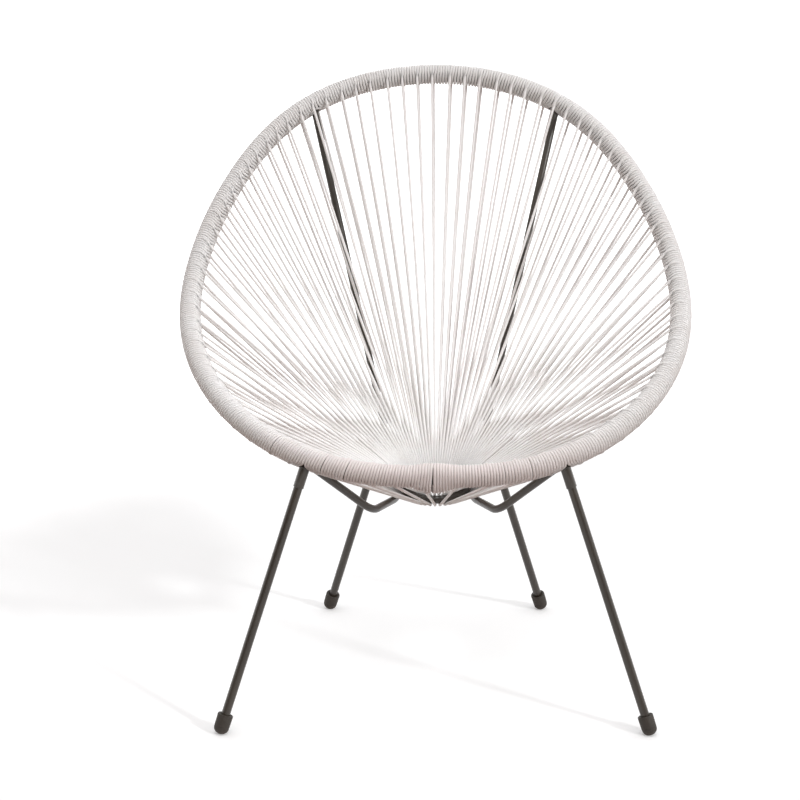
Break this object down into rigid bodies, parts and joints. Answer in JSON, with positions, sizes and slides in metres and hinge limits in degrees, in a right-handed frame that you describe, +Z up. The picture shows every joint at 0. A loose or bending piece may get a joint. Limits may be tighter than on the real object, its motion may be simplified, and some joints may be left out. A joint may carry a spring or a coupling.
{
  "type": "acapulco chair",
  "caption": "Round-backed patio chair: a cord-wound steel hoop with cords strung to a small centre ring, on splayed tube legs.",
  "frame": {"origin": "on the floor, under the middle of the chair's outline", "axes": "+Z up, +Y towards the back of the chair, +X towards the side that the front view shows on the right"},
  "size_m": [0.7556, 0.6548, 0.86],
  "materials": {
    "frame_steel": "satin",
    "cord_pvc": "satin",
    "cap_plastic": "matte"
  },
  "bodies": {
    "root": {"hoop_tube": "frame_steel", "inner_ring": "frame_steel", "support_rod_left": "frame_steel", "support_rod_right": "frame_steel", "leg_sleeve_front_left": "frame_steel", "leg_front_left": "frame_steel", "foot_cap_front_left": "cap_plastic", "leg_sleeve_front_right": "frame_steel", "leg_front_right": "frame_steel", "foot_cap_front_right": "cap_plastic", "leg_sleeve_rear_left": "frame_steel", "leg_rear_left": "frame_steel", "foot_cap_rear_left": "cap_plastic", "leg_sleeve_rear_right": "frame_steel", "leg_rear_right": "frame_steel", "foot_cap_rear_right": "cap_plastic", "rim_winding_01": "cord_pvc", "seat_cords_01": "cord_pvc", "rim_winding_02": "cord_pvc", "seat_cords_02": "cord_pvc", "rim_winding_03": "cord_pvc", "seat_cords_03": "cord_pvc", "rim_winding_04": "cord_pvc", "seat_cords_04": "cord_pvc", "rim_winding_05": "cord_pvc", "seat_cords_05": "cord_pvc", "rim_winding_06": "cord_pvc", "seat_cords_06": "cord_pvc", "rim_winding_07": "cord_pvc", "seat_cords_07": "cord_pvc", "rim_winding_08": "cord_pvc", "seat_cords_08": "cord_pvc", "rim_winding_09": "cord_pvc", "seat_cords_09": "cord_pvc", "rim_winding_10": "cord_pvc", "seat_cords_10": "cord_pvc", "rim_winding_11": "cord_pvc", "seat_cords_11": "cord_pvc", "rim_winding_12": "cord_pvc", "seat_cords_12": "cord_pvc"}
  },
  "joints": []
}
